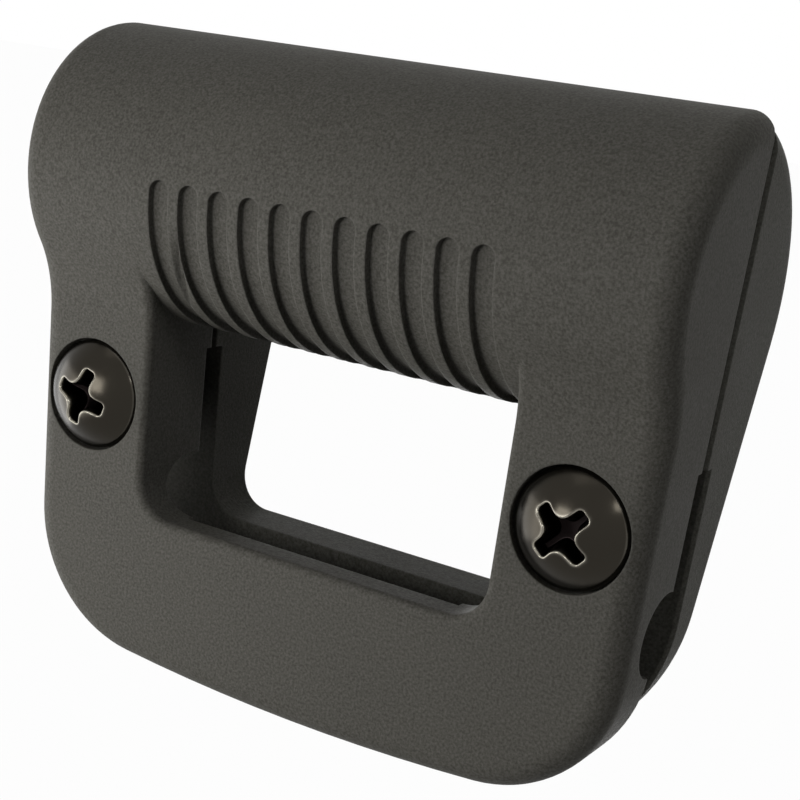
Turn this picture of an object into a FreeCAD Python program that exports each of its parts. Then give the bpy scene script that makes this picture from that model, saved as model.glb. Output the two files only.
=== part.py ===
import FreeCAD, Part
import math
import os
import re
import Sketcher

os.makedirs("parts", exist_ok=True)
doc = FreeCAD.newDocument("basket_light_bracket")

# Driving sizes in millimetres and degrees. X runs along the round bar, Y runs
# from the front to the basket side, Z is up; the origin is the middle of the bar axis.
sheet = doc.addObject("Spreadsheet::Sheet", "Sizes")
sizes = [
    ("bar_diameter", 22.2, "round bar along the top"),
    ("axis_width", 53.4, "width over both ends at the bar axis"),
    ("side_draft", 2.7, "each side leans in towards the bottom"),
    ("bottom_drop", 37.5, "bar axis down to the lowest point of the bottom edge"),
    ("bottom_bow", 170.0, "slight bow of the bottom edge"),
    ("corner_radius", 10.8, "lower outer corners of the front half"),
    ("rear_corner", 13.5, "lower outer corners of the rear half"),
    ("plate_setback", 8.0, "bar axis forward to the flat front face"),
    ("blend_radius", 10.0, "hollow curve between bar and front face"),
    ("front_round", 1.8, "front outer edge rounding"),
    ("leg_width", 10.75, "each leg beside the window at screw height"),
    ("window_draft", 1.4, "window sides lean in towards the sill"),
    ("window_corner", 3.0, "lower window corners"),
    ("window_round", 0.6, "window front edge rounding"),
    ("parting_gap", 0.6, "gap between the halves at the bar"),
    ("slot_start", 12.9, "bar axis down to the top of the clamping slot"),
    ("slot_front", 0.9, "clamping face of the front half before the axis plane"),
    ("throat_front", 2.2, "wider slot below the channel, before the axis plane"),
    ("parting_bevel", 0.25, "edges along the parting line at both ends"),
    ("channel_diameter", 6.2, "basket wire channel"),
    ("channel_forward", 2.0, "channel axis before the axis plane"),
    ("channel_drop", 24.2, "bar axis down to the channel axis"),
    ("front_sill", 0.9, "channel axis down to the sill of the front half"),
    ("rear_sill", 2.3, "channel axis down to the sill of the rear half"),
    ("channel_relief", 0.6, "deeper groove in the sill, so that only the legs grip the wire"),
    ("crown_radius", 13.5, "back of the bar on the rear half"),
    ("crown_dip", 0.39, "crown below the top of the front half at the axis plane"),
    ("back_inset", 0.6, "back face inside the full round of the bar"),
    ("back_lean", 12.1, "lean of the back face"),
    ("rear_round", 1.8, "back outer edge rounding"),
    ("underside_round", 1.2, "bar underside into the back face"),
    ("screw_inset", 6.3, "screw axes in from the ends of the bar"),
    ("screw_drop", 16.8, "bar axis down to the screw axes"),
    ("seat_diameter", 8.7, "counterbore for the screw head"),
    ("seat_depth", 1.2, "counterbore depth"),
    ("screw_clearance", 0.2, "radial room round the thread in both halves"),
    ("head_diameter", 8.4, "screw head"),
    ("head_height", 2.9, "screw head at its crown"),
    ("head_rim", 0.9, "straight rim under the dome of the head"),
    ("thread_diameter", 4.0, "screw thread"),
    ("thread_length", 14.0, "below the head"),
    ("tip_chamfer", 0.5, "screw tip"),
    ("recess_span", 4.2, "cross recess tip to tip"),
    ("recess_width", 1.0, "cross recess wing"),
    ("recess_depth", 1.8, "cross recess"),
    ("recess_corner", 0.6, "rounding between the wings"),
    ("recess_edge", 0.2, "rolled edge of the recess"),
    ("recess_turn_left", 18.0, "turn of the left cross"),
    ("recess_turn_right", -47.0, "turn of the right cross"),
    ("nut_flats", 7.0, "hexagon nut across flats"),
    ("nut_height", 3.2, "nut height"),
    ("nut_fit", 0.05, "radial room between thread and nut"),
    ("nut_room", 0.1, "room on each flat of the nut pocket"),
    ("nut_floor", 2.5, "nut pocket floor behind the axis plane"),
    ("grip_pitch", 2.637, "between grip grooves"),
    ("grip_width", 1.7, "grip groove"),
    ("grip_depth", 0.5, "grip groove"),
    ("grip_sweep", 82.0, "groove from the front of the bar round to its underside"),
    ("grip_count", 11, "grip grooves"),
]
for row, (alias, amount, note) in enumerate(sizes, start=1):
    sheet.set("A%d" % row, alias)
    sheet.set("B%d" % row, str(amount))
    sheet.set("C%d" % row, note)
    sheet.setAlias("B%d" % row, alias)
doc.recompute()

# Cuts run this far past the part, and places closer than this are the same place.
OVERCUT = 3.0
SAME_PLACE = 0.01


def size(text):
    """The value of an expression written in the words of the sheet."""
    return float(sheet.evalExpression(text))


def bound(text):
    """The same expression as seen from another object of the document."""
    return re.sub(r"[a-z]+(_[a-z]+)+", lambda word: "Sizes." + word.group(0), text)


def bind(thing, prop, text):
    thing.setExpression(prop, bound(text))


def new_body(label):
    body = doc.addObject("PartDesign::Body", label)
    body.Label = label
    return body


def new_sketch(body, name, role, offset=None):
    sketch = body.newObject("Sketcher::SketchObject", name)
    plane = [item for item in body.Origin.OriginFeatures if item.Role == role][0]
    sketch.AttachmentSupport = [(plane, "")]
    sketch.MapMode = "FlatFace"
    if offset:
        bind(sketch, "AttachmentOffset.Base.z", offset)
    return sketch


def pin(sketch, geometry, end, across, up):
    """Hold one end of a piece of geometry at a place given by two expressions."""
    for kind, axis, text in (("DistanceX", -2, across), ("DistanceY", -1, up)):
        value = size(text)
        if abs(value) < 1e-9:
            sketch.addConstraint(Sketcher.Constraint("PointOnObject", geometry, end, axis))
        elif value > 0:
            number = sketch.addConstraint(Sketcher.Constraint(kind, -1, 1, geometry, end, value))
            bind(sketch, "Constraints[%d]" % number, text)
        else:
            number = sketch.addConstraint(Sketcher.Constraint(kind, geometry, end, -1, 1, -value))
            bind(sketch, "Constraints[%d]" % number, "-(%s)" % text)


def draw_outline(sketch, corners):
    """A closed outline; a corner may carry the arc that leads to the next one.

    Each corner is (across, up) or (across, up, radius, centre across, centre up, turn).
    """
    points = [FreeCAD.Vector(size(corner[0]), size(corner[1]), 0) for corner in corners]
    ends = []
    for index, corner in enumerate(corners):
        here = points[index]
        there = points[(index + 1) % len(points)]
        if len(corner) == 2:
            sketch.addGeometry(Part.LineSegment(here, there), False)
            ends.append((1, 2))
            continue
        centre = FreeCAD.Vector(size(corner[3]), size(corner[4]), 0)
        circle = Part.Circle(centre, FreeCAD.Vector(0, 0, 1), size(corner[2]))
        first, last = (here, there) if corner[5] == "ccw" else (there, here)
        begin = math.atan2(first.y - centre.y, first.x - centre.x)
        finish = math.atan2(last.y - centre.y, last.x - centre.x)
        sketch.addGeometry(Part.ArcOfCircle(circle, begin, finish), False)
        ends.append((1, 2) if corner[5] == "ccw" else (2, 1))
    for index in range(len(corners)):
        following = (index + 1) % len(corners)
        sketch.addConstraint(
            Sketcher.Constraint("Coincident", index, ends[index][1], following, ends[following][0]))
    for index, corner in enumerate(corners):
        pin(sketch, index, ends[index][0], corner[0], corner[1])
        if len(corner) > 2:
            number = sketch.addConstraint(Sketcher.Constraint("Radius", index, size(corner[2])))
            bind(sketch, "Constraints[%d]" % number, corner[2])


def draw_circle(sketch, across, up, diameter):
    centre = FreeCAD.Vector(size(across), size(up), 0)
    circle = Part.Circle(centre, FreeCAD.Vector(0, 0, 1), size(diameter) / 2)
    index = sketch.addGeometry(circle, False)
    pin(sketch, index, 3, across, up)
    number = sketch.addConstraint(Sketcher.Constraint("Diameter", index, size(diameter)))
    bind(sketch, "Constraints[%d]" % number, diameter)


def pad(body, name, sketch, length, side="One side", reverse=False):
    feature = body.newObject("PartDesign::Pad", name)
    feature.Profile = sketch
    feature.SideType = side
    feature.Reversed = reverse
    bind(feature, "Length", length)
    doc.recompute()
    return feature


def pocket(body, name, sketch, length=None, reverse=False, side="One side"):
    """A cut of the given depth, or right through on both sides of the sketch."""
    before = body.Shape.Volume
    feature = body.newObject("PartDesign::Pocket", name)
    feature.Profile = sketch
    feature.Reversed = reverse
    feature.Type = "Length" if length else "ThroughAll"
    feature.SideType = side if length else "Symmetric"
    if length:
        bind(feature, "Length", length)
    doc.recompute()
    if body.Shape.Volume > before - 1e-6:
        raise RuntimeError(name + " removes nothing")
    return feature


def soften(body, name, amount, wanted, kind="Fillet", prop="Radius"):
    """Round or bevel every edge of the body whose middle and direction the test accepts."""
    base = body.Tip
    names = []
    for index, edge in enumerate(base.Shape.Edges, start=1):
        middle = edge.valueAt((edge.FirstParameter + edge.LastParameter) / 2)
        along = edge.tangentAt((edge.FirstParameter + edge.LastParameter) / 2)
        if wanted(middle, along):
            names.append("Edge%d" % index)
    feature = body.newObject("PartDesign::" + kind, name)
    feature.Base = (base, names)
    bind(feature, prop, amount)
    doc.recompute()
    return feature


# Outline shared by both halves, seen from the front: straight sides that lean in
# towards the bottom, a slightly bowed bottom edge and two large lower corners.
# The rear half presses the wire with a flat face that just touches the channel.
TOP = "bar_diameter / 2 + %g" % OVERCUT
HALF_TOP = "axis_width / 2 + (%s) * tan(side_draft)" % TOP
HALF_BOTTOM = "(axis_width / 2 - bottom_drop * tan(side_draft))"
FOOT = "(bottom_drop - bottom_bow + sqrt(bottom_bow ^ 2 - %s ^ 2))" % HALF_BOTTOM
WINDOW_HALF = "(axis_width / 2 - screw_drop * tan(side_draft) - leg_width)"
WINDOW_TOP = "%s + screw_drop * tan(window_draft)" % WINDOW_HALF
SCREW_SIDE = "(axis_width / 2 - screw_inset)"
FRONT_SILL = "(channel_drop + front_sill)"
REAR_SILL = "(channel_drop + rear_sill)"
SLOT_REAR = "(channel_diameter / 2 - channel_forward)"


def is_lower_corner(middle, along):
    return abs(along.y) > 0.99 and abs(middle.z + size(FOOT)) < SAME_PLACE


def add_outline(body, length, reverse, corner):
    offset = "-parting_gap / 2" if reverse else "parting_gap / 2"
    sketch = new_sketch(body, body.Label + "_outline", "XZ_Plane", offset)
    draw_outline(sketch, [
        ("-" + HALF_BOTTOM, "-" + FOOT, "bottom_bow", "0", "bottom_bow - bottom_drop", "ccw"),
        (HALF_BOTTOM, "-" + FOOT),
        (HALF_TOP, TOP),
        ("-(%s)" % HALF_TOP, TOP)])
    pad(body, body.Label + "_blank", sketch, length, reverse=reverse)
    soften(body, body.Label + "_corners", corner, is_lower_corner)


def bevel_parting(body, reach):
    """Break the end edges of a half that lie within the given reach of the axis plane."""
    limit = size(reach) + SAME_PLACE
    beside = size(WINDOW_HALF + " + 1")

    def is_parting_edge(middle, along):
        upright = abs(along.x) < 0.9 and abs(along.y) < 0.9
        return upright and abs(middle.y) < limit and abs(middle.x) > beside

    soften(body, body.Label + "_parting_bevel", "parting_bevel", is_parting_edge, "Chamfer", "Size")


def add_window(body, sill):
    half = "%s - (%s - screw_drop) * tan(window_draft)" % (WINDOW_HALF, sill)
    sketch = new_sketch(body, body.Label + "_window_outline", "XZ_Plane")
    draw_outline(sketch, [
        ("-(%s)" % half, "-" + sill),
        (half, "-" + sill),
        (WINDOW_TOP, "0"),
        ("-(%s)" % WINDOW_TOP, "0")])
    pocket(body, body.Label + "_window", sketch)
    corner = (size(half), size("-" + sill))

    def is_window_corner(middle, along):
        off = math.hypot(abs(middle.x) - corner[0], middle.z - corner[1])
        return abs(along.y) > 0.99 and off < SAME_PLACE

    soften(body, body.Label + "_window_corners", "window_corner", is_window_corner)


def inside_window(middle):
    wall = size(WINDOW_HALF) + (middle.z + size("screw_drop")) * math.tan(
        math.radians(size("window_draft")))
    return abs(middle.x) < wall + 0.02 and -size(REAR_SILL) - 0.02 < middle.z < -0.05


def add_screw_holes(body):
    sketch = new_sketch(body, body.Label + "_hole_circles", "XZ_Plane")
    for side in ("-", ""):
        draw_circle(sketch, side + SCREW_SIDE, "-screw_drop",
                    "thread_diameter + 2 * screw_clearance")
    pocket(body, body.Label + "_holes", sketch)


# Front half: the front of the bar flows through a hollow curve into the flat face;
# window, head seats, the wire channel and the grip grooves on the bar.
def build_front_half():
    body = new_body("front_half")
    add_outline(body, "bar_diameter / 2 + %g" % OVERCUT, False, "corner_radius")

    blend_drop = "sqrt((bar_diameter / 2 + blend_radius) ^ 2 - (plate_setback + blend_radius) ^ 2)"
    share = "(bar_diameter / 2) / (bar_diameter / 2 + blend_radius)"
    front = "-(bar_diameter / 2 + 2 * %g)" % OVERCUT
    below = "-(bottom_drop + %g)" % OVERCUT
    above = "bar_diameter / 2 + 2 * %g" % OVERCUT
    profile = new_sketch(body, "front_profile", "YZ_Plane")
    draw_outline(profile, [
        ("%g" % OVERCUT, "bar_diameter / 2"),
        ("0", "bar_diameter / 2", "bar_diameter / 2", "0", "0", "ccw"),
        ("-(plate_setback + blend_radius) * %s" % share, "-(%s) * %s" % (blend_drop, share),
         "blend_radius", "-(plate_setback + blend_radius)", "-(%s)" % blend_drop, "cw"),
        ("-plate_setback", "-(%s)" % blend_drop),
        ("-plate_setback", below),
        (front, below),
        (front, above),
        ("%g" % OVERCUT, above)])
    pocket(body, "front_shaping", profile)

    slot = new_sketch(body, "front_slot_outline", "YZ_Plane")
    draw_outline(slot, [
        ("-throat_front", below),
        ("%g" % OVERCUT, below),
        ("%g" % OVERCUT, "-slot_start"),
        ("-slot_front", "-slot_start"),
        ("-slot_front", "-channel_drop"),
        ("-throat_front", "-channel_drop")])
    pocket(body, "front_slot", slot)
    bevel_parting(body, "throat_front")

    add_window(body, FRONT_SILL)
    face = -size("plate_setback") + 0.001
    bottom = -size("bottom_drop") + SAME_PLACE
    beside = size(WINDOW_HALF + " + window_round + 1")

    def is_window_edge(middle, along):
        return middle.y < face and inside_window(middle)

    def is_outer_edge(middle, along):
        at_side = abs(middle.x) > beside and abs(along.x) < 0.9
        return middle.y < face and (at_side or middle.z < bottom)

    soften(body, "front_window_edge", "window_round", is_window_edge)
    soften(body, "front_outer_edge", "front_round", is_outer_edge)

    bar = new_sketch(body, "front_bar_section", "YZ_Plane")
    rise = "sqrt((bar_diameter / 2) ^ 2 - (parting_gap / 2) ^ 2)"
    draw_outline(bar, [
        ("-parting_gap / 2", rise, "bar_diameter / 2", "0", "0", "ccw"),
        ("-parting_gap / 2", "-(%s)" % rise)])
    pad(body, "front_bar", bar, "2 * (%s) + 4 * window_round" % WINDOW_TOP, "Symmetric")

    channel = new_sketch(body, "channel_circle", "YZ_Plane")
    draw_circle(channel, "-channel_forward", "-channel_drop", "channel_diameter")
    pocket(body, "channel", channel)
    groove = new_sketch(body, "sill_groove_circle", "YZ_Plane")
    draw_circle(groove, "-channel_forward", "-channel_drop", "channel_diameter + 2 * channel_relief")
    span = "2 * (%s - (channel_drop - screw_drop) * tan(window_draft) - window_corner)" % WINDOW_HALF
    pocket(body, "sill_groove", groove, span, side="Symmetric")

    add_screw_holes(body)
    seats = new_sketch(body, "seat_circles", "XZ_Plane", "plate_setback")
    for side in ("-", ""):
        draw_circle(seats, side + SCREW_SIDE, "-screw_drop", "seat_diameter")
    pocket(body, "seats", seats, "seat_depth")

    first = "-(grip_count - 1) / 2 * grip_pitch"
    floor = "bar_diameter / 2 - grip_depth"
    section = new_sketch(body, "grip_section", "XY_Plane")
    draw_outline(section, [
        ("%s - grip_width / 2" % first, "-(bar_diameter / 2 + 1)"),
        ("%s + grip_width / 2" % first, "-(bar_diameter / 2 + 1)"),
        ("%s + grip_width / 2" % first, "-(%s)" % floor),
        ("%s - grip_width / 2" % first, "-(%s)" % floor)])
    before = body.Shape.Volume
    sweep = body.newObject("PartDesign::Groove", "grip_sweep_cut")
    sweep.Profile = section
    sweep.ReferenceAxis = (section, ["H_Axis"])
    bind(sweep, "Angle", "grip_sweep")
    doc.recompute()
    if body.Shape.Volume > before - 1e-6:
        raise RuntimeError("grip groove removes nothing")
    end = new_sketch(body, "grip_end_circle", "XZ_Plane", floor)
    draw_circle(end, first, "0", "grip_width")
    tip = pocket(body, "grip_end", end, "grip_depth + 1", True)
    row = body.newObject("PartDesign::LinearPattern", "grip_row")
    row.Originals = [sweep, tip]
    row.Direction = (section, ["H_Axis"])
    bind(row, "Length", "(grip_count - 1) * grip_pitch")
    bind(row, "Occurrences", "grip_count")
    body.Tip = row
    doc.recompute()
    return body


# Rear half: the thinner clamping half with a flatter crown and a leaning back face;
# window, nut pockets and a plain face that presses on the wire.
def build_rear_half():
    body = new_body("rear_half")
    add_outline(body, "bar_diameter / 2 + %g" % OVERCUT, True, "rear_corner")

    # The crown meets the axis plane just below the front half and runs flush into the back face,
    # which gives the turn of its centre from the back face and so the centre itself.
    back = "(bar_diameter / 2 - back_inset)"
    height = "(bar_diameter / 2 - crown_dip)"
    turn_sin = "(1 - (%s + %s * sin(back_lean)) / crown_radius)" % (back, height)
    turn_cos = "sqrt(1 - %s ^ 2)" % turn_sin
    forward = "(crown_radius * (sin(back_lean) * %s + cos(back_lean) * %s))" % (turn_cos, turn_sin)
    drop = "(crown_radius * (cos(back_lean) * %s - sin(back_lean) * %s) - %s)" % (turn_cos, turn_sin, height)
    touch_y = "(crown_radius * cos(back_lean) - %s)" % forward
    touch_z = "(-%s - crown_radius * sin(back_lean))" % drop
    crown_z = "sqrt(crown_radius ^ 2 - (%s - 1) ^ 2) - %s" % (forward, drop)
    below = "-(bottom_drop + %g)" % OVERCUT
    above = "bar_diameter / 2 + 2 * %g" % OVERCUT
    behind = "bar_diameter / 2 + 2 * %g" % OVERCUT
    foot_y = "%s - (%s + bottom_drop + %g) * tan(back_lean)" % (touch_y, touch_z, OVERCUT)
    profile = new_sketch(body, "rear_profile", "YZ_Plane")
    draw_outline(profile, [
        (touch_y, touch_z, "crown_radius", "-" + forward, "-" + drop, "ccw"),
        ("-1", crown_z),
        ("-1", above),
        (behind, above),
        (behind, below),
        (foot_y, below)])
    pocket(body, "rear_shaping", profile)

    slot = new_sketch(body, "rear_slot_outline", "YZ_Plane")
    draw_outline(slot, [
        ("-1", below),
        (SLOT_REAR, below),
        (SLOT_REAR, "-slot_start"),
        ("-1", "-slot_start")])
    pocket(body, "rear_slot", slot)
    bevel_parting(body, SLOT_REAR)

    add_window(body, REAR_SILL)
    behind_slot = size(SLOT_REAR + " + 2 * parting_bevel")
    beside = size(WINDOW_HALF + " + 1")
    bottom = -size("bottom_drop") + SAME_PLACE

    def is_outer_edge(middle, along):
        at_side = abs(middle.x) > beside and abs(along.x) < 0.9 and abs(along.y) < 0.9
        return middle.y > behind_slot and (at_side or middle.z < bottom)

    soften(body, "rear_outer_edge", "rear_round", is_outer_edge)

    # The bar between the legs: crown, back face, a rounded lower edge and the round underside.
    radius = "(bar_diameter / 2)"
    inner = "(bar_diameter / 2 - underside_round)"
    reach = "(%s - underside_round)" % back
    slide = "sqrt(%s ^ 2 - %s ^ 2)" % (inner, reach)
    round_y = "(%s * cos(back_lean) - %s * sin(back_lean))" % (reach, slide)
    round_z = "(-%s * sin(back_lean) - %s * cos(back_lean))" % (reach, slide)
    leave_y = "(%s + underside_round * cos(back_lean))" % round_y
    leave_z = "(%s - underside_round * sin(back_lean))" % round_z
    join_y = "(%s * %s / %s)" % (round_y, radius, inner)
    join_z = "(%s * %s / %s)" % (round_z, radius, inner)
    crown_top = "sqrt(crown_radius ^ 2 - (%s + parting_gap / 2) ^ 2) - %s" % (forward, drop)
    under_top = "-sqrt(%s ^ 2 - (parting_gap / 2) ^ 2)" % radius
    bar = new_sketch(body, "rear_bar_section", "YZ_Plane")
    draw_outline(bar, [
        ("parting_gap / 2", under_top, radius, "0", "0", "ccw"),
        (join_y, join_z, "underside_round", round_y, round_z, "ccw"),
        (leave_y, leave_z),
        (touch_y, touch_z, "crown_radius", "-" + forward, "-" + drop, "ccw"),
        ("parting_gap / 2", crown_top)])
    pad(body, "rear_bar", bar, "2 * (%s) + 4 * window_round" % WINDOW_TOP, "Symmetric")

    add_screw_holes(body)
    half = "(nut_flats / 2 + nut_room)"
    for name, middle in (("left", "-" + SCREW_SIDE), ("right", SCREW_SIDE)):
        seat = new_sketch(body, "nut_seat_flats_" + name, "XZ_Plane", "-nut_floor")
        draw_outline(seat, hexagon(half, middle, "-screw_drop"))
        pocket(body, "nut_seat_" + name, seat, "bar_diameter")
    return body


def hexagon(half, across, up):
    rise = "%s * tan(30)" % half
    tip = "%s / cos(30)" % half
    return [
        ("%s + %s" % (across, half), "%s - %s" % (up, rise)),
        ("%s + %s" % (across, half), "%s + %s" % (up, rise)),
        (across, "%s + %s" % (up, tip)),
        ("%s - %s" % (across, half), "%s + %s" % (up, rise)),
        ("%s - %s" % (across, half), "%s - %s" % (up, rise)),
        (across, "%s - %s" % (up, tip))]


# Pan-head machine screw with a cross recess, head to the front.
def build_screw(label, side, turn):
    body = new_body(label)
    dome = "((head_height - head_rim) ^ 2 + (head_diameter / 2) ^ 2) / (2 * (head_height - head_rim))"
    section = new_sketch(body, label + "_section", "XY_Plane")
    draw_outline(section, [
        ("0", "-head_height"),
        ("0", "thread_length"),
        ("thread_diameter / 2 - tip_chamfer", "thread_length"),
        ("thread_diameter / 2", "thread_length - tip_chamfer"),
        ("thread_diameter / 2", "0"),
        ("head_diameter / 2", "0"),
        ("head_diameter / 2", "-head_rim", dome, "0", "-head_height + %s" % dome, "cw")])
    solid = body.newObject("PartDesign::Revolution", label + "_solid")
    solid.Profile = section
    solid.ReferenceAxis = (section, ["V_Axis"])
    solid.Angle = 360
    doc.recompute()

    wing = "recess_width / 2"
    tip = "recess_span / 2"
    cross = new_sketch(body, label + "_cross", "XZ_Plane", "head_height")
    draw_outline(cross, [
        (wing, wing), (wing, tip), ("-" + wing, tip), ("-" + wing, wing),
        ("-" + tip, wing), ("-" + tip, "-" + wing), ("-" + wing, "-" + wing),
        ("-" + wing, "-" + tip), (wing, "-" + tip), (wing, "-" + wing),
        (tip, "-" + wing), (tip, wing)])
    pocket(body, label + "_recess", cross, "recess_depth")
    corner = size("recess_width / sqrt(2)")
    rim = -size("head_height") + 0.35 * size("recess_depth")

    def is_inner_corner(middle, along):
        return abs(along.y) > 0.99 and abs(math.hypot(middle.x, middle.z) - corner) < SAME_PLACE

    def is_recess_edge(middle, along):
        return middle.y < rim and abs(along.y) < 0.7

    soften(body, label + "_inner_corners", "recess_corner", is_inner_corner)
    soften(body, label + "_recess_edge", "recess_edge", is_recess_edge, "Chamfer", "Size")
    bind(body, "Placement.Base.x", side + SCREW_SIDE)
    bind(body, "Placement.Base.y", "seat_depth - plate_setback")
    bind(body, "Placement.Base.z", "-screw_drop")
    body.Placement.Rotation = FreeCAD.Rotation(FreeCAD.Vector(0, 1, 0), size(turn))
    bind(body, "Placement.Rotation.Angle", turn)
    doc.recompute()
    return body


# Hexagon nut held in the pocket of the rear half.
def build_nut(label, side):
    body = new_body(label)
    flats = new_sketch(body, label + "_flats", "XZ_Plane")
    draw_outline(flats, hexagon("(nut_flats / 2)", "0", "0"))
    pad(body, label + "_blank", flats, "nut_height", reverse=True)
    bore = new_sketch(body, label + "_bore_circle", "XZ_Plane")
    draw_circle(bore, "0", "0", "thread_diameter + 2 * nut_fit")
    pocket(body, label + "_bore", bore)
    bind(body, "Placement.Base.x", side + SCREW_SIDE)
    bind(body, "Placement.Base.y", "nut_floor")
    bind(body, "Placement.Base.z", "-screw_drop")
    doc.recompute()
    return body


bodies = [
    build_front_half(),
    build_rear_half(),
    build_screw("screw_left", "-", "recess_turn_left"),
    build_screw("screw_right", "", "recess_turn_right"),
    build_nut("nut_left", "-"),
    build_nut("nut_right", ""),
]

doc.recompute()
for item in doc.Objects:
    if "Invalid" in item.State or "Error" in item.State:
        raise RuntimeError(item.Label + " is not valid")
for body in bodies:
    shape = body.Shape
    if shape.isNull() or not shape.isValid() or len(shape.Solids) != 1:
        raise RuntimeError(body.Label + " is not one valid solid")
    shape.exportStep("parts/%s.step" % body.Label)
    print(body.Label, round(shape.Volume, 1), shape.BoundBox)
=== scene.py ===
import bmesh
import bpy
import math
from mathutils import Matrix, Vector


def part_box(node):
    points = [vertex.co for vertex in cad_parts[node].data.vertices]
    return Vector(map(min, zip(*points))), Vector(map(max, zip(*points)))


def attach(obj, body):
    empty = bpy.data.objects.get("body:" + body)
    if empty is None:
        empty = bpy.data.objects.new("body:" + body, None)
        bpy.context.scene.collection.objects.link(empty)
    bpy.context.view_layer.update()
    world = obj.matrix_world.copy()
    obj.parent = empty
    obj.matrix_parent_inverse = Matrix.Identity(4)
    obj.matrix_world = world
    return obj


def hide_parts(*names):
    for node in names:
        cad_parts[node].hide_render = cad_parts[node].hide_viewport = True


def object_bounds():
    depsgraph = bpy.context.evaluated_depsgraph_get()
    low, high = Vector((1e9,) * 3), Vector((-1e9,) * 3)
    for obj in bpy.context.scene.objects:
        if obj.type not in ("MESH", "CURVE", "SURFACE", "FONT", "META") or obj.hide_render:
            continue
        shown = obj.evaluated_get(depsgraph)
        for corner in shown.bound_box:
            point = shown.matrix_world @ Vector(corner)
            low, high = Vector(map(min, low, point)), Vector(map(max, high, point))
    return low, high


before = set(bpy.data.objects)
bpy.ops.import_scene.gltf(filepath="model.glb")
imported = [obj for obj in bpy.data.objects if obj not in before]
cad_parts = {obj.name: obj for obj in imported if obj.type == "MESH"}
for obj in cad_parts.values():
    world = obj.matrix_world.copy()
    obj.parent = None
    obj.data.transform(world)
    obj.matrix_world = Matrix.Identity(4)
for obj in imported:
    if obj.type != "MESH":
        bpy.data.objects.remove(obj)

cad_box = [list(corner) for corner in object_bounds()]

# Front half: the moulded front of the bracket with the lamp bar, the grip grooves and the window.
# Glass-filled nylon from a spark-eroded mould, so it has a fine even grain and a dull warm grey,
# with paler rubbed edges; two screws draw the rear half against it.
FRONT_GREY = (0.058, 0.055, 0.047, 1.0)
FRONT_GREY_WORN = (0.146, 0.142, 0.127, 1.0)
GRAIN_SIZE = 0.00022
GRAIN_DEPTH = 0.00006
GRAIN_STRENGTH = 0.8
PATCH_SIZE = 0.006
PATCH_SHADE = 0.14
SPECKS_PER_GRAIN = 1.1
SPECK_RANGE = (0.32, 0.68)
SPECK_SHARE = 0.55
EDGE_RADIUS = 0.00022
EDGE_TURN = (0.995, 0.8)
EDGE_WEAR = 0.30
PLASTIC_ROUGHNESS = (0.46, 0.60)
PLASTIC_SHINE = 0.04


def add_node(tree, kind, **settings):
    node = tree.nodes.new(kind)
    for name, value in settings.items():
        setattr(node, name, value)
    return node


def fill(node, **values):
    """Set unlinked inputs by name, with underscores for spaces."""
    for name, value in values.items():
        node.inputs[name.replace("_", " ")].default_value = value
    return node


def new_group(name, inputs, outputs):
    """An empty shader group; sockets are (name, type, default) and (name, type)."""
    group = bpy.data.node_groups.new(name, "ShaderNodeTree")
    for socket, kind, default in inputs:
        made = group.interface.new_socket(socket, in_out="INPUT", socket_type=kind)
        made.default_value = default
    for socket, kind in outputs:
        group.interface.new_socket(socket, in_out="OUTPUT", socket_type=kind)
    return group, group.nodes.new("NodeGroupInput"), group.nodes.new("NodeGroupOutput")


def moulded_grain_group():
    """Fine eroded grain as a height, slow patches where the melt cooled unevenly, pale specks."""
    group, given, result = new_group(
        "moulded_grain",
        [("Grain Size", "NodeSocketFloat", 0.0002), ("Patch Size", "NodeSocketFloat", 0.006)],
        [(name, "NodeSocketFloat") for name in ("Height", "Patch", "Speck")])
    place = add_node(group, "ShaderNodeTexCoord")
    link = group.links.new
    per_metre = {}
    for socket in ("Grain Size", "Patch Size"):
        per_metre[socket] = add_node(group, "ShaderNodeMath", operation="DIVIDE")
        per_metre[socket].inputs[0].default_value = 1.0
        link(given.outputs[socket], per_metre[socket].inputs[1])
    grain = fill(add_node(group, "ShaderNodeTexNoise"), Detail=3.0, Roughness=0.65)
    link(place.outputs["Object"], grain.inputs["Vector"])
    link(per_metre["Grain Size"].outputs[0], grain.inputs["Scale"])
    patch = fill(add_node(group, "ShaderNodeTexNoise"), Detail=4.0, Roughness=0.55)
    link(place.outputs["Object"], patch.inputs["Vector"])
    link(per_metre["Patch Size"].outputs[0], patch.inputs["Scale"])
    specks = add_node(group, "ShaderNodeMath", operation="MULTIPLY")
    specks.inputs[1].default_value = SPECKS_PER_GRAIN
    link(per_metre["Grain Size"].outputs[0], specks.inputs[0])
    speck = fill(add_node(group, "ShaderNodeTexNoise"), Detail=2.0, Roughness=0.6)
    link(place.outputs["Object"], speck.inputs["Vector"])
    link(specks.outputs[0], speck.inputs["Scale"])
    sharper = fill(add_node(group, "ShaderNodeMapRange"),
                   From_Min=SPECK_RANGE[0], From_Max=SPECK_RANGE[1])
    link(speck.outputs["Fac"], sharper.inputs["Value"])
    link(grain.outputs["Fac"], result.inputs["Height"])
    link(patch.outputs["Fac"], result.inputs["Patch"])
    link(sharper.outputs["Result"], result.inputs["Speck"])
    return group


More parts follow.
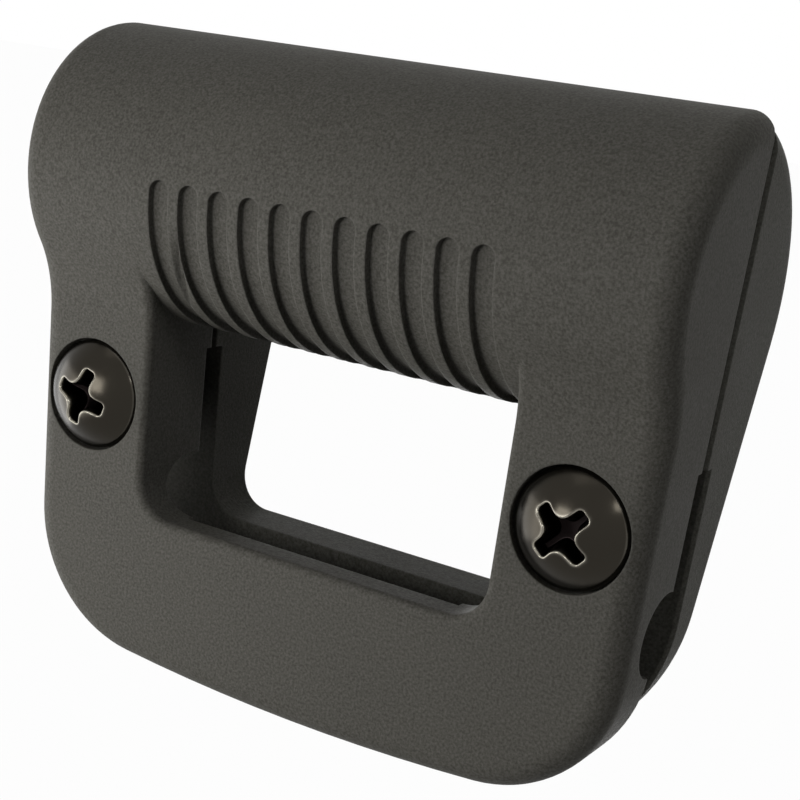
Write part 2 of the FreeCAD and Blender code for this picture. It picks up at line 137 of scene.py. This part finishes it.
def rubbed_edge_group():
    """Softened normal along sharp edges, and a mask that is 1 where an edge is rubbed."""
    group, given, result = new_group(
        "rubbed_edge",
        [("Radius", "NodeSocketFloat", 0.0002)],
        [("Normal", "NodeSocketVector"), ("Edge", "NodeSocketFloat")])
    link = group.links.new
    bevel = add_node(group, "ShaderNodeBevel", samples=6)
    link(given.outputs["Radius"], bevel.inputs["Radius"])
    flat = add_node(group, "ShaderNodeNewGeometry")
    match = add_node(group, "ShaderNodeVectorMath", operation="DOT_PRODUCT")
    link(bevel.outputs["Normal"], match.inputs[0])
    link(flat.outputs["Normal"], match.inputs[1])
    mask = fill(add_node(group, "ShaderNodeMapRange"),
                From_Min=EDGE_TURN[0], From_Max=EDGE_TURN[1])
    link(match.outputs["Value"], mask.inputs["Value"])
    link(bevel.outputs["Normal"], result.inputs["Normal"])
    link(mask.outputs["Result"], result.inputs["Edge"])
    return group


moulded_grain = moulded_grain_group()
rubbed_edge = rubbed_edge_group()


def new_material(name):
    material = bpy.data.materials.new(name)
    material.use_nodes = True
    return material, material.node_tree, material.node_tree.nodes["Principled BSDF"]


def place_group(tree, group, **values):
    node = add_node(tree, "ShaderNodeGroup", node_tree=group)
    return fill(node, **values)


def shade_by(tree, factor, low, high):
    """A value between two limits, driven by a mask."""
    node = fill(add_node(tree, "ShaderNodeMapRange"), To_Min=low, To_Max=high)
    tree.links.new(factor, node.inputs["Value"])
    return node.outputs["Result"]


def mix_colour(tree, factor, first, second):
    """A colour mix; each colour is a fixed value or an output of another node."""
    node = add_node(tree, "ShaderNodeMix", data_type="RGBA")
    tree.links.new(factor, node.inputs["Factor"])
    for socket, colour in ((node.inputs[6], first), (node.inputs[7], second)):
        if isinstance(colour, bpy.types.NodeSocket):
            tree.links.new(colour, socket)
        else:
            socket.default_value = colour
    return node.outputs[2]


def moulded_plastic(name, grey, worn):
    material, tree, shader = new_material(name)
    link = tree.links.new
    grain = place_group(tree, moulded_grain, Grain_Size=GRAIN_SIZE, Patch_Size=PATCH_SIZE)
    edge = place_group(tree, rubbed_edge, Radius=EDGE_RADIUS)
    darker = tuple((1 - PATCH_SHADE) * part for part in grey[:3]) + (1.0,)
    lighter = tuple((1 + PATCH_SHADE) * part for part in grey[:3]) + (1.0,)
    body = mix_colour(tree, grain.outputs["Patch"], darker, lighter)
    speck = shade_by(tree, grain.outputs["Speck"], 0.0, SPECK_SHARE)
    specked = mix_colour(tree, speck, body, worn)
    rubbed = shade_by(tree, edge.outputs["Edge"], 0.0, EDGE_WEAR)
    link(mix_colour(tree, rubbed, specked, worn), shader.inputs["Base Color"])
    link(shade_by(tree, grain.outputs["Patch"], *PLASTIC_ROUGHNESS), shader.inputs["Roughness"])
    bump = fill(add_node(tree, "ShaderNodeBump"), Strength=GRAIN_STRENGTH, Distance=GRAIN_DEPTH)
    link(grain.outputs["Height"], bump.inputs["Height"])
    link(edge.outputs["Normal"], bump.inputs["Normal"])
    link(bump.outputs["Normal"], shader.inputs["Normal"])
    fill(shader, IOR=1.5, Specular_IOR_Level=PLASTIC_SHINE)
    return material


front_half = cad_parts["front_half"]
front_half.material_slots[0].material = moulded_plastic(
    "front_plastic", FRONT_GREY, FRONT_GREY_WORN)

# Rear half: the thinner clamping half behind it, with nut pockets and a plain face for the wire.
# The same nylon from a second cavity, a shade darker; it rides on the screws and parts from the
# front half as they are loosened.
REAR_GREY = (0.056, 0.054, 0.045, 1.0)
REAR_GREY_WORN = (0.141, 0.138, 0.122, 1.0)

rear_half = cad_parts["rear_half"]
rear_half.material_slots[0].material = moulded_plastic("rear_plastic", REAR_GREY, REAR_GREY_WORN)

# Screws: two pan-head machine screws with a cross recess, turned into the nuts from the front.
# Cold-headed steel with a rolled thread and a polished black zinc finish; the punch leaves rounded
# lobes between the wings of the recess. Its rim is rubbed pale and carries a painted highlight, and
# painted shade darkens the recess towards its depth.
ZINC_BLACK = (0.028, 0.025, 0.020, 1.0)
# Pale colour of the recess rim and the head's outer edge: rubbed wear, and also a painted highlight
# along them.
ZINC_RUBBED_AND_HIGHLIGHT = (0.34, 0.32, 0.27, 1.0)
# Painted shade: near black for the inside of the cross recess.
ZINC_PAINTED_RECESS_SHADE = (0.004, 0.003, 0.003, 1.0)
RUB_AND_HIGHLIGHT_RANGE = (0.1, 1.3)
ZINC_ROUGHNESS = (0.14, 0.30)
FORGING_SIZE = 0.0006
FORGING_GRAIN = 0.00015
FORGING_DEPTH = 0.00002
FORGING_STRENGTH = 0.2
HEAD_RADIUS = 0.0042
HEAD_HEIGHT = 0.0029
HEAD_RIM = 0.0009
DOME_END = 0.00395
# Radius of each ring round the edge of the head, and its height over the seat.
HEAD_EDGE = ((0.00408, 0.00103), (0.00416, 0.00088), (HEAD_RADIUS, 0.00068), (HEAD_RADIUS, 0.0))
# How much pale colour the head's outer edge takes: partly wear, partly a painted highlight along
# that edge.
HEAD_EDGE_RUB_AND_HIGHLIGHT = 0.25
THREAD_RADIUS = 0.00198
THREAD_DEPTH = 0.00035
THREAD_PITCH = 0.0007
THREAD_LENGTH = 0.014
TIP_CHAMFER = 0.0005
WING_REACH = 0.0022
WING_HALF = 0.00052
WING_TIP = 0.00030
LOBE_ROUND = 0.0009
RECESS_DEPTH = 0.0019
RECESS_RISE = 0.5
RECESS_WALL = 0.00034
RIM_WIDTH = 0.00010
RIM_CENTRE = 0.3
RECESS_TURN = {"screw_left": 18.0, "screw_right": -47.0}
SCREW_BODY = {"screw_left": "left_screw", "screw_right": "right_screw"}
HEAD_SIDES = 192
RECESS_RINGS = 46
DOME_RINGS = 12
SHANK_SIDES = 64
TURN_RINGS = 8


def wing_distance(along, across):
    """How far a point lies outside one bar of the cross, negative inside it."""
    beyond = (abs(along) - WING_REACH + WING_TIP, abs(across) - WING_HALF + WING_TIP)
    outside = math.hypot(max(beyond[0], 0.0), max(beyond[1], 0.0))
    return outside + min(max(beyond), 0.0) - WING_TIP


def recess_distance(across, up):
    """The same for the whole cross, with rounded lobes between its wings."""
    one = wing_distance(across, up)
    two = wing_distance(up, across)
    near = max(LOBE_ROUND - abs(one - two), 0.0) / LOBE_ROUND
    return min(one, two) - near * near * LOBE_ROUND / 4


def turned_screw(node):
    """The screw as rings of points from its crown to its tip; also, at each point, the rim's wear
    with its painted highlight and the recess's painted shade.
    """
    low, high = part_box(node)
    middle = Vector(((low[0] + high[0]) / 2, high[1] - THREAD_LENGTH, (low[2] + high[2]) / 2))
    turn = math.radians(RECESS_TURN[node])
    rise = HEAD_HEIGHT - HEAD_RIM
    ball = (rise ** 2 + HEAD_RADIUS ** 2) / (2 * rise)
    recess_end = WING_REACH + 2 * RIM_WIDTH
    radii = [recess_end * step / RECESS_RINGS for step in range(RECESS_RINGS + 1)]
    radii += [recess_end + (DOME_END - recess_end) * step / DOME_RINGS
              for step in range(1, DOME_RINGS + 1)]
    mesh = bmesh.new()
    rim_wear_and_highlight, recess_shade = [], []

    def add_point(radius, angle, back, rubbed, sunk):
        rim_wear_and_highlight.append(rubbed)
        recess_shade.append(sunk)
        place = Vector((radius * math.cos(angle), back, radius * math.sin(angle)))
        return mesh.verts.new(middle + place)

    def dome_point(radius, angle):
        across = radius * math.cos(angle + turn)
        up = radius * math.sin(angle + turn)
        off = recess_distance(across, up)
        share = min(max((RIM_WIDTH - off) / (RECESS_WALL + RIM_WIDTH), 0.0), 1.0)
        share = share * share * (3 - 2 * share)
        sunk = share * RECESS_DEPTH * (1 - RECESS_RISE * min(radius / WING_REACH, 1.0) ** 2)
        crown = ball - HEAD_HEIGHT - math.sqrt(ball ** 2 - radius ** 2)
        # Mask along the recess rim: rubbed wear, and also a painted highlight.
        rubbed = math.exp(-((off - RIM_CENTRE * RIM_WIDTH) / RIM_WIDTH) ** 2)
        # How far the point lies inside the recess also sets the painted shade there.
        return add_point(radius, angle, crown + sunk, rubbed, share)

    def ring(sides, point):
        return [point(math.tau * side / sides) for side in range(sides)]

    def bridge(first, second):
        count = len(first)
        for side in range(count):
            following = (side + 1) % count
            mesh.faces.new((first[side], first[following], second[following], second[side]))

    def fan(centre, edge):
        for side in range(len(edge)):
            mesh.faces.new((centre, edge[side], edge[(side + 1) % len(edge)]))

    crown = dome_point(0.0, 0.0)
    rings = [ring(HEAD_SIDES, lambda angle, r=radius: dome_point(r, angle)) for radius in radii[1:]]
    for radius, front in HEAD_EDGE:
        rings.append(ring(HEAD_SIDES, lambda angle, r=radius, b=-front: add_point(
            r, angle, b, HEAD_EDGE_RUB_AND_HIGHLIGHT, 0.0)))
    fan(crown, rings[0])
    for first, second in zip(rings, rings[1:]):
        bridge(first, second)

    def thread_point(angle, back):
        phase = (back / THREAD_PITCH - angle / math.tau) % 1.0
        groove = THREAD_DEPTH * abs(2 * phase - 1)
        taper = max(back - THREAD_LENGTH + TIP_CHAMFER, 0.0)
        start = min(back / THREAD_PITCH, 1.0)
        radius = THREAD_RADIUS - max(start * groove, taper)
        return add_point(radius, angle, back, 0.0, 0.0)

    shank_rings = round(THREAD_LENGTH / THREAD_PITCH * TURN_RINGS)
    shank = []
    for step in range(shank_rings + 1):
        back = THREAD_LENGTH * step / shank_rings
        shank.append(ring(SHANK_SIDES, lambda angle, b=back: thread_point(angle, b)))
    for first, second in zip(shank, shank[1:]):
        bridge(first, second)
    fan(add_point(0.0, 0.0, THREAD_LENGTH, 0.0, 0.0), shank[-1])
    share = HEAD_SIDES // SHANK_SIDES
    for side in range(SHANK_SIDES):
        outer = [rings[-1][(side * share + step) % HEAD_SIDES] for step in range(share + 1)]
        mesh.faces.new(outer + [shank[0][(side + 1) % SHANK_SIDES], shank[0][side]])
    bmesh.ops.recalc_face_normals(mesh, faces=mesh.faces)
    for face in mesh.faces:
        face.smooth = len(face.verts) < 5
    made = bpy.data.meshes.new(node + "_turned")
    mesh.to_mesh(made)
    mesh.free()
    for name, amounts in (("rim_wear_and_highlight", rim_wear_and_highlight), ("recess_shade", recess_shade)):
        made.attributes.new(name, "FLOAT", "POINT").data.foreach_set("value", amounts)
    return made


def black_zinc():
    material, tree, shader = new_material("screw_steel")
    link = tree.links.new
    grain = place_group(tree, moulded_grain, Grain_Size=FORGING_GRAIN, Patch_Size=FORGING_SIZE)
    # Pale rim colour is rubbed wear together with a painted highlight; the recess is darkened with
    # painted shade.
    rim_wear_and_highlight = add_node(tree, "ShaderNodeAttribute", attribute_name="rim_wear_and_highlight")
    recess_shade = add_node(tree, "ShaderNodeAttribute", attribute_name="recess_shade")
    uneven = add_node(tree, "ShaderNodeMath", operation="MULTIPLY")
    link(rim_wear_and_highlight.outputs["Fac"], uneven.inputs[0])
    link(shade_by(tree, grain.outputs["Patch"], *RUB_AND_HIGHLIGHT_RANGE), uneven.inputs[1])
    rubbed = mix_colour(tree, uneven.outputs[0], ZINC_BLACK, ZINC_RUBBED_AND_HIGHLIGHT)
    # Painted shade: the recess goes darker the further a point lies inside it.
    link(mix_colour(tree, recess_shade.outputs["Fac"], rubbed, ZINC_PAINTED_RECESS_SHADE), shader.inputs["Base Color"])
    link(shade_by(tree, grain.outputs["Patch"], *ZINC_ROUGHNESS), shader.inputs["Roughness"])
    bump = fill(add_node(tree, "ShaderNodeBump"), Strength=FORGING_STRENGTH, Distance=FORGING_DEPTH)
    link(grain.outputs["Patch"], bump.inputs["Height"])
    link(bump.outputs["Normal"], shader.inputs["Normal"])
    fill(shader, Metallic=1.0)
    return material


screw_finish = black_zinc()
for node, body in SCREW_BODY.items():
    screw = bpy.data.objects.new(node + "_turned", turned_screw(node))
    screw.data.materials.append(screw_finish)
    bpy.context.scene.collection.objects.link(screw)
    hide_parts(node)
    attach(screw, body)

# Nuts: two hexagon nuts pressed into the pockets of the rear half, so that only the screws turn.
# Pressed steel with a clear zinc coat, which is finely pitted and has dulled in patches.
ZINC_CLEAR = (0.60, 0.59, 0.56, 1.0)
ZINC_DULL = (0.40, 0.39, 0.36, 1.0)
NUT_ROUGHNESS = (0.28, 0.5)
PIT_SIZE = 0.0003
PIT_DEPTH = 0.00002
PIT_STRENGTH = 0.3
DULL_PATCH = 0.0012


def clear_zinc():
    material, tree, shader = new_material("nut_steel")
    link = tree.links.new
    grain = place_group(tree, moulded_grain, Grain_Size=PIT_SIZE, Patch_Size=DULL_PATCH)
    edge = place_group(tree, rubbed_edge, Radius=EDGE_RADIUS)
    zinc = mix_colour(tree, grain.outputs["Patch"], ZINC_DULL, ZINC_CLEAR)
    link(zinc, shader.inputs["Base Color"])
    link(shade_by(tree, grain.outputs["Speck"], *NUT_ROUGHNESS), shader.inputs["Roughness"])
    bump = fill(add_node(tree, "ShaderNodeBump"), Strength=PIT_STRENGTH, Distance=PIT_DEPTH)
    link(grain.outputs["Height"], bump.inputs["Height"])
    link(edge.outputs["Normal"], bump.inputs["Normal"])
    link(bump.outputs["Normal"], shader.inputs["Normal"])
    fill(shader, Metallic=1.0)
    return material


nut_finish = clear_zinc()
for node in ("nut_left", "nut_right"):
    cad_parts[node].material_slots[0].material = nut_finish

# Studio: a pale floor well below the bracket, which hangs from its basket wire, and white around.
# The floor and the surroundings read white to the eye and in reflections, and the floor still takes
# the shadow of the bracket. Lamps have a name, a place, the side of their square, and watts.
FLOOR_DROP = 0.20
FLOOR_HALF = 4.0
FLOOR_PALE = (0.9, 0.9, 0.89, 1.0)
FLOOR_ROUGHNESS = 0.9
FLOOR_GLOW = 0.98
ROOM_LIGHT = 0.03
LAMPS = (
    ("front_lamp", (-0.034, -0.14, 0.010), 0.05, 0.085),
    ("top_lamp", (-0.02, -0.01, 0.26), 0.25, 0.14),
    ("side_lamp", (-0.085, -0.10, -0.045), 0.10, 0.060),
    ("left_lamp", (-0.11, -0.045, -0.04), 0.10, 0.08),
    ("right_lamp", (0.30, -0.005, 0.10), 0.10, 0.05),
    ("edge_lamp", (0.22, -0.11, 0.14), 0.05, 0.08),
    ("back_lamp", (-0.10, 0.28, -0.09), 0.20, 0.36),
)


def seen_ray(tree):
    """1 for rays of the eye, of mirrors and of glass, 0 for rays that only carry light."""
    path = add_node(tree, "ShaderNodeLightPath")
    first = add_node(tree, "ShaderNodeMath", operation="MAXIMUM")
    tree.links.new(path.outputs["Is Camera Ray"], first.inputs[0])
    tree.links.new(path.outputs["Is Glossy Ray"], first.inputs[1])
    both = add_node(tree, "ShaderNodeMath", operation="MAXIMUM")
    tree.links.new(first.outputs[0], both.inputs[0])
    tree.links.new(path.outputs["Is Transmission Ray"], both.inputs[1])
    return both.outputs[0]


floor_mesh = bpy.data.meshes.new("floor")
floor_level = cad_box[0][2] - FLOOR_DROP
floor_mesh.from_pydata(
    [(-FLOOR_HALF, -FLOOR_HALF, floor_level), (FLOOR_HALF, -FLOOR_HALF, floor_level),
     (FLOOR_HALF, FLOOR_HALF, floor_level), (-FLOOR_HALF, FLOOR_HALF, floor_level)],
    [], [(0, 1, 2, 3)])
floor = bpy.data.objects.new("floor", floor_mesh)
bpy.context.scene.collection.objects.link(floor)

floor_pale, tree, shader = new_material("floor_pale")
fill(shader, Base_Color=FLOOR_PALE, Roughness=FLOOR_ROUGHNESS)
glow = fill(add_node(tree, "ShaderNodeEmission"), Color=(1.0, 1.0, 1.0, 1.0), Strength=1.0)
share = add_node(tree, "ShaderNodeMath", operation="MULTIPLY")
share.inputs[1].default_value = FLOOR_GLOW
tree.links.new(seen_ray(tree), share.inputs[0])
mixed = add_node(tree, "ShaderNodeMixShader")
tree.links.new(share.outputs[0], mixed.inputs["Fac"])
tree.links.new(shader.outputs["BSDF"], mixed.inputs[1])
tree.links.new(glow.outputs["Emission"], mixed.inputs[2])
tree.links.new(mixed.outputs["Shader"], tree.nodes["Material Output"].inputs["Surface"])
floor.data.materials.append(floor_pale)

world = bpy.data.worlds.new("white_room")
world.use_nodes = True
bpy.context.scene.world = world
tree = world.node_tree
sky = tree.nodes["Background"]
fill(sky, Color=(1.0, 1.0, 1.0, 1.0))
level = fill(add_node(tree, "ShaderNodeMapRange"), To_Min=ROOM_LIGHT, To_Max=1.0)
tree.links.new(seen_ray(tree), level.inputs["Value"])
tree.links.new(level.outputs["Result"], sky.inputs["Strength"])


def soft_box(name, away, side, watts):
    """A square lamp at a place measured from the bracket, facing it."""
    lamp = bpy.data.lights.new(name, "AREA")
    lamp.shape = "SQUARE"
    lamp.size = side
    lamp.energy = watts
    box = bpy.data.objects.new(name, lamp)
    box.location = Vector(away)
    box.rotation_mode = "QUATERNION"
    box.rotation_quaternion = (-box.location).to_track_quat("-Z", "Y")
    box.visible_camera = False
    bpy.context.scene.collection.objects.link(box)


for lamp_settings in LAMPS:
    soft_box(*lamp_settings)

# Camera: as the photograph was taken, from the right and a little above, tipped over by a few
# degrees, quite near to the bracket. Angles are in degrees, places in metres.
CAMERA_AZIMUTH = 29.769
CAMERA_ELEVATION = 13.029
CAMERA_ROLL = 7.068
CAMERA_TARGET = Vector((0.006649, -0.007961, -0.011171))
CAMERA_DISTANCE = 0.11410
CAMERA_LENS = 75.387
SENSOR_WIDTH = 36.0
CLIP_NEAR = 0.001

azimuth = math.radians(CAMERA_AZIMUTH)
elevation = math.radians(CAMERA_ELEVATION)
roll = math.radians(CAMERA_ROLL)
back = Vector((math.sin(azimuth) * math.cos(elevation), -math.cos(azimuth) * math.cos(elevation),
               math.sin(elevation)))
level_right = Vector((math.cos(azimuth), math.sin(azimuth), 0.0))
level_up = back.cross(level_right)
right = math.cos(roll) * level_right + math.sin(roll) * level_up
up = math.cos(roll) * level_up - math.sin(roll) * level_right
eye = bpy.data.cameras.new("camera")
eye.sensor_width = SENSOR_WIDTH
eye.lens = CAMERA_LENS
eye.clip_start = CLIP_NEAR
camera = bpy.data.objects.new("camera", eye)
camera.matrix_world = Matrix.Translation(CAMERA_TARGET + CAMERA_DISTANCE * back) @ Matrix(
    (right, up, back)).transposed().to_4x4()
bpy.context.scene.collection.objects.link(camera)
bpy.context.scene.camera = camera
bpy.context.scene.view_settings.view_transform = "Standard"
